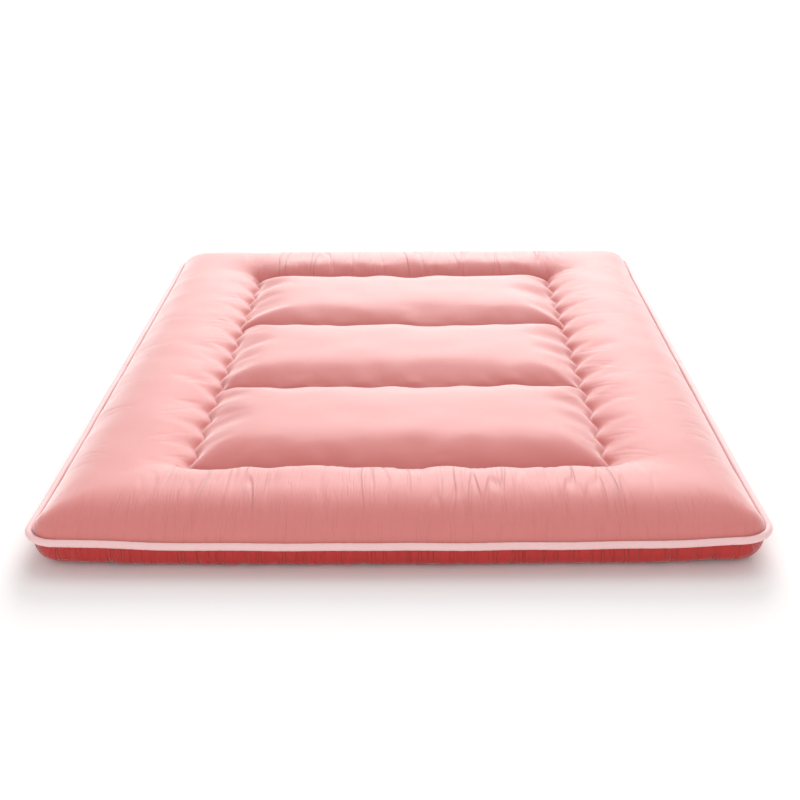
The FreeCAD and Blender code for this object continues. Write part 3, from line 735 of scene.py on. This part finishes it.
def bottom_grid():
    """The bottom cover: a gathered side that curves under to a flat base, arched at the folds."""
    arc, run, rise = quarter(BOTTOM_RUN, BOTTOM_TOP, BOTTOM_POWER)
    spare = arc[-1] - run[-1]
    half_x, half_y = COVER_X + spare, COVER_Y + spare
    xs = np.linspace(0, half_x, round(half_x / BOTTOM_CELL) + 1)
    ys = np.linspace(0, half_y, round(half_y / BOTTOM_CELL) + 1)
    x, y = np.meshgrid(both_sides(xs), both_sides(ys))
    uv = np.stack([x, y], axis=-1)
    x, y = rounded(x, y, half_x, half_y, CORNER + spare)
    distance, nx, ny = edge_distance(x, y, half_x, half_y, CORNER + spare)
    inward = np.where(distance < arc[-1], np.interp(distance, arc, run) + spare - distance, 0)
    drop = np.interp(distance, arc, rise)
    around = np.where(np.abs(nx) > np.abs(ny), y, x + 5)
    share = np.clip(distance / arc[-1], 0, 1)
    gather = perlin(around / 0.026, distance / 0.2, 11) + 0.5 * perlin(around / 0.012, distance / 0.15, 12)
    puff = GATHER_PUFF * gather * np.sin(np.pi * np.clip(share * 1.15, 0, 1)) ** 0.7
    px, py = x - nx * inward, y - ny * inward
    px, py = px + nx * puff, py + ny * puff
    rim = smooth(share, 0.55, 0.95) * (1 - smooth(distance, arc[-1], arc[-1] + PUCKER_REACH))
    pucker = BASE_CLEAR + PUCKER * smooth(perlin(around / 0.045, distance / 0.3, 13), -0.1, 0.6) * rim
    pz = np.maximum(BOTTOM_TOP - drop, 0) + fold_arch(py) * smooth(share, 0.5, 1) + pucker
    return np.stack([px, py, pz], axis=-1), uv


bottom, bottom_uv = bottom_grid()
bottom = settle(upsample(bottom))
# The bottom cover wears the darker copy of the cotton, which paints in the shade under the piping.
halves("bottom_cover", bottom, upsample(bottom_uv), PAINTED_SHADE_BASE_COTTON, facing_down=True)

# ---------------------------------------------------------------- the filling
FILL_STEP = 4  # every fourth line of the covers' grids is enough for the filling
UNDER_COVER = 0.006  # how far the filling stays below its cover
SEAM_CLEAR = 2  # fine grid lines left free each side of a seam
UPPER_FILL_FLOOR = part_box("foot_centre_pad")[0][2]
BATT_EDGE = 0.02


def fill_marks(low, high):
    """Grid line numbers from low to high, about FILL_STEP apart, with both ends."""
    return np.unique(np.linspace(low, high, max(3, (high - low) // FILL_STEP + 1)).round().astype(int))


def closed_pad(name, upper, lower, material, bent, replaced):
    """A stuffed piece between two grids of points, closed all round."""
    rows, columns = upper.shape[:2]
    count = rows * columns
    numbers = np.arange(count).reshape(rows, columns)
    rim = np.concatenate([numbers[0], numbers[1:, -1], numbers[-1, -2::-1], numbers[-2:0:-1, 0]])
    following = np.roll(rim, -1)
    top_faces = grid_faces(columns, rows)
    wall = np.stack([rim, rim + count, following + count, following], axis=1)
    points = np.concatenate([upper.reshape(-1, 3), lower.reshape(-1, 3)])
    faces = np.concatenate([top_faces, top_faces[:, ::-1] + count, wall])
    piece = add_mesh(name, points, faces.tolist())
    piece.data.shade_smooth()
    cloth_map(piece.data, points[:, :2])
    piece.data.materials.append(material)
    bent(piece)
    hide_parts(*replaced)


def upper_fill(name, row_span, column_span, bent, replaced):
    """A roll or a pad of wadding under one quilted field of the top cover."""
    chosen = np.ix_(fill_marks(*row_span), fill_marks(*column_span))
    surface = under_top[chosen]
    upper, lower = surface.copy(), surface.copy()
    upper[..., 2] = np.maximum(surface[..., 2], UPPER_FILL_FLOOR + 0.006)
    rise = upper[..., 2] - UPPER_FILL_FLOOR
    lower[..., 2] = UPPER_FILL_FLOOR + np.minimum(0.002, rise / 3)
    closed_pad(name, upper, lower, WADDING, bent, replaced)


def batt(name, material, margin, low, high):
    """A flat layer of the lower filling, in a foot half and a head half."""
    half_x, half_y = COVER_X - margin, COVER_Y - margin
    xs = np.linspace(-half_x, half_x, 60)
    for side, bent, sign in (("foot", bend_foot, -1), ("head", bend_head, 1)):
        ys = np.sort(sign * np.linspace(0, half_y, 40))
        x, y = np.meshgrid(xs, ys)
        x, y = rounded(x, y, half_x, half_y, CORNER)
        inset = np.minimum(half_x - np.abs(x), half_y - np.abs(y))
        past_edge = 1 - np.clip(inset / BATT_EDGE, 0, 1)
        round_edge = (1 - np.sqrt(1 - past_edge**2)) * 0.45 * (high - low)
        upper = settle(np.stack([x, y, high - round_edge], axis=-1))
        lower = settle(np.stack([x, y, low + round_edge + fold_arch(y)], axis=-1))
        replaced = [f"{side}_{name}", f"middle_{name}"]
        closed_pad(f"{name}_{side}_half", upper, lower, material, bent, replaced)


# ---------------------------------------------------------------- piping
PIPING_WAVE, WAVE_APART = 0.0022, 0.16  # how far the piping wanders up and down
CORD_SHARE = 0.78  # the cord's radius as a share of the tape's
FLANGE_INSET, FLANGE_THREAD = 0.0285, 0.0005  # the seam that joins the covers, inside the piping


def outline(half_x, half_y, radius, step):
    """The foot end's half outline, from the left side's middle round the foot to the right side's."""
    straight_y, straight_x = half_y - radius, half_x - radius
    side_count, end_count = round(straight_y / step), round(2 * straight_x / step)
    turn = max(4, round(radius * math.pi / 2 / step * 1.6))

    def straight(start, end, count, whole=False):
        share = np.linspace(0, 1, count + whole, endpoint=whole)[:, None]
        return np.array(start) + (np.array(end) - np.array(start)) * share

    def corner(sign, first_angle):
        angle = first_angle + np.linspace(0, math.pi / 2, turn, endpoint=False)
        return np.stack([sign * straight_x + radius * np.cos(angle), -straight_y + radius * np.sin(angle)], 1)

    return np.concatenate([
        straight((-half_x, 0), (-half_x, -straight_y), side_count),
        corner(-1, math.pi),
        straight((-straight_x, -half_y), (straight_x, -half_y), end_count),
        corner(1, 1.5 * math.pi),
        straight((half_x, -straight_y), (half_x, 0), side_count, whole=True),
    ])


def edging(name, material, radius, sides, step, inset=0.0, wave=0.0, lumps=0.0):
    """A tube round the whole edge, in a foot half and a head half that meet at the middle."""
    flat = outline(PIPE_X - inset, PIPE_Y - inset, CORNER + PIPE_RADIUS - inset, step)
    for side, bent, sign in (("foot", bend_foot, 1), ("head", bend_head, -1)):
        line = flat * [1, sign]
        height = PIPE_Z + wave * perlin(line[:, 0] / WAVE_APART + 9, line[:, 1] / WAVE_APART, 21)
        path = settle(np.concatenate([line, height[:, None]], axis=1))
        ahead = unit(np.gradient(path, axis=0))
        out = unit(np.cross(ahead, UP) * (-sign))
        up = np.cross(out, ahead) * sign
        arc = np.arange(len(path)) * step
        thick = radius * (1 + lumps * perlin(arc / 0.011, arc * 0 + sign, 22))
        piece = tube(f"{name}_{side}_half", path, thick, sides, material, out, up)
        bent(piece)
        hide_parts(*on_side(side, section_nodes(name)))


cord_radius = PIPE_RADIUS * CORD_SHARE
edging(
    "piping_tape", PIPING, PIPE_RADIUS, sides=16, step=0.0055, wave=PIPING_WAVE, lumps=0.05
)
edging("piping_cord", PIPING, cord_radius, sides=8, step=0.012, wave=PIPING_WAVE)
edging("seam_thread", THREAD, FLANGE_THREAD, sides=5, step=0.02, inset=FLANGE_INSET)

# ---------------------------------------------------------------- quilting threads
STITCH, STITCH_RISE = 0.006, 0.0010


def stitches(name, path, bent, replaced):
    """A sewing thread that dips and rises in stitches along a seam's line of points."""
    arc = path_lengths(path)
    count = round(arc[-1] / STITCH * 4)
    marks = np.linspace(0, arc[-1], count + 1)
    line = np.stack([np.interp(marks, arc, path[:, k]) for k in range(3)], axis=1)
    line[:, 2] += 0.0004 + STITCH_RISE * np.cos(marks / STITCH * 2 * math.pi)
    ahead = unit(np.gradient(line, axis=0))
    out = unit(np.cross(ahead, UP))
    piece = tube(name, line, THREAD_RADIUS, 6, THREAD, out, np.cross(out, ahead))
    bent(piece)
    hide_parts(*replaced)


def fine_lines(on_seam, axis):
    """The upsampled grid's line numbers along which a seam runs."""
    return [int(line) * 2 for line in np.flatnonzero(on_seam.sum(axis=axis) > 5)]


def span(one, other):
    """Two line numbers in rising order."""
    return min(one, other), max(one, other)


last_row, last_column = top.shape[0] - 1, top.shape[1] - 1
centre = top.shape[0] // 2
foot_end, foot_cross, head_cross, head_end = sorted(fine_lines(on_cross, 1) + fine_lines(end_seam, 1))
left, right = fine_lines(side_seam, 0)
under_top = top - UNDER_COVER * grid_normals(top)
between = (left + SEAM_CLEAR, right - SEAM_CLEAR)
outer_left, outer_right = (SEAM_CLEAR, left - SEAM_CLEAR), (right + SEAM_CLEAR, last_column - SEAM_CLEAR)
for side, bent, last, end_row, cross_row, inner in (
    ("foot", bend_foot, 0, foot_end, foot_cross, SEAM_CLEAR),
    ("head", bend_head, last_row, head_end, head_cross, -SEAM_CLEAR),
):
    whole_side, border = span(last + inner, centre), span(last + inner, end_row - inner)
    pad, middle_pad = span(end_row + inner, cross_row - inner), span(cross_row + inner, centre)
    for edge, columns in (("left", outer_left), ("right", outer_right)):
        rolls = [f"{side}_{edge}_roll", f"middle_{edge}_roll"]
        upper_fill(f"{side}_{edge}_wadding_roll", whole_side, columns, bent, rolls)
    upper_fill(f"{side}_end_wadding_roll", border, between, bent, [f"{side}_end_roll"])
    upper_fill(f"{side}_wadding_pad", pad, between, bent, [f"{side}_centre_pad"])
    upper_fill(f"middle_wadding_pad_{side}_half", middle_pad, between, bent, ["middle_centre_pad"])
    low, high = span(end_row, centre)
    threads = [f"{side}_quilt_thread", "middle_quilt_thread"]
    stitches(f"{side}_quilt_left", top[low:high + 1, left], bent, threads)
    stitches(f"{side}_quilt_right", top[low:high + 1, right], bent, threads)
    stitches(f"{side}_quilt_end", top[end_row, left:right + 1], bent, threads)
    stitches(f"{side}_cross_seam", top[cross_row, left:right + 1], bent, [f"{side}_cross_seam_thread"])

core_low, core_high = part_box("foot_core_batt")
lower_top = core_low[2] - 0.0005
batt("lower_batt", WADDING, margin=0.050, low=0.005, high=lower_top)
batt("core_batt", CORE, margin=0.024, low=core_low[2], high=core_high[2])

# ---------------------------------------------------------------- stage, light and camera
DAYLIGHT = (1.0, 0.99, 0.98)
ZENITH_LIGHT, HORIZON_LIGHT = 0.56, 0.98
FLOOR_SIZE, FLOOR_CLEAR = 24, 0.0005


def stage_floor():
    """A plain pale floor."""
    bpy.ops.mesh.primitive_plane_add(size=FLOOR_SIZE, location=(0, 0, -FLOOR_CLEAR))
    floor = bpy.context.object
    floor.name = "floor"
    material = new_material("floor_paper", (0.93, 0.93, 0.93), 0.9)
    floor.data.materials.append(material)


def lamp(name, kind, place, power):
    """A light at a place, aimed at the middle of the mattress."""
    light = bpy.data.lights.new(name, kind)
    light.energy = power
    light.color = DAYLIGHT
    holder = bpy.data.objects.new(name, light)
    holder.location = place
    holder.rotation_euler = (-Vector(place)).to_track_quat("-Z", "Y").to_euler()
    bpy.context.scene.collection.objects.link(holder)
    return light


def area_light(name, place, size, power):
    """A soft round light."""
    light = lamp(name, "AREA", place, power)
    light.shape = "DISK"
    light.size = size


def sun_light(name, place, power, spread):
    """Parallel light, softened by the angle that it spreads over."""
    light = lamp(name, "SUN", place, power)
    light.angle = math.radians(spread)


def studio_world():
    """Soft surrounding light, brightest at the horizon."""
    world = bpy.data.worlds.new("studio")
    world.use_nodes = True
    tree = world.node_tree
    background = tree.nodes["Background"]
    background.inputs["Color"].default_value = (1.0, 0.98, 0.97, 1)
    direction = tree.nodes.new("ShaderNodeTexCoord")
    parts = tree.nodes.new("ShaderNodeSeparateXYZ")
    tree.links.new(direction.outputs["Generated"], parts.inputs["Vector"])
    height = step_node(tree, parts.outputs["Z"], 0.10, 0.55)
    strength = math_node(tree, "MULTIPLY_ADD", height, ZENITH_LIGHT - HORIZON_LIGHT, HORIZON_LIGHT)
    tree.links.new(strength, background.inputs["Strength"])
    bpy.context.scene.world = world


def add_camera(place, yaw, pitch, roll, lens):
    """The scene's camera, looking along +Y, turned by angles in degrees."""
    camera = bpy.data.cameras.new("camera")
    camera.lens = lens
    camera.sensor_width = 36
    viewer = bpy.data.objects.new("camera", camera)
    yawed = Matrix.Rotation(math.radians(yaw), 4, "Z")
    pitched = Matrix.Rotation(math.pi / 2 - math.radians(pitch), 4, "X")
    rolled = Matrix.Rotation(-math.radians(roll), 4, "Z")
    viewer.matrix_world = Matrix.Translation(place) @ yawed @ pitched @ rolled
    bpy.context.scene.collection.objects.link(viewer)
    bpy.context.scene.camera = viewer


stage_floor()
sun_light("daylight", (0.6, 1.6, 3.2), power=0.75, spread=50)
area_light("window", (1.0, 11.5, 5.3), size=8.0, power=1500)
area_light("fill", (-1.0, -6.0, 2.4), size=4.0, power=80)
studio_world()
bpy.context.scene.view_settings.view_transform = "Standard"
add_camera((0.0385, -3.239, 1.285), yaw=0.77, pitch=22.22, roll=0.57, lens=58.2)
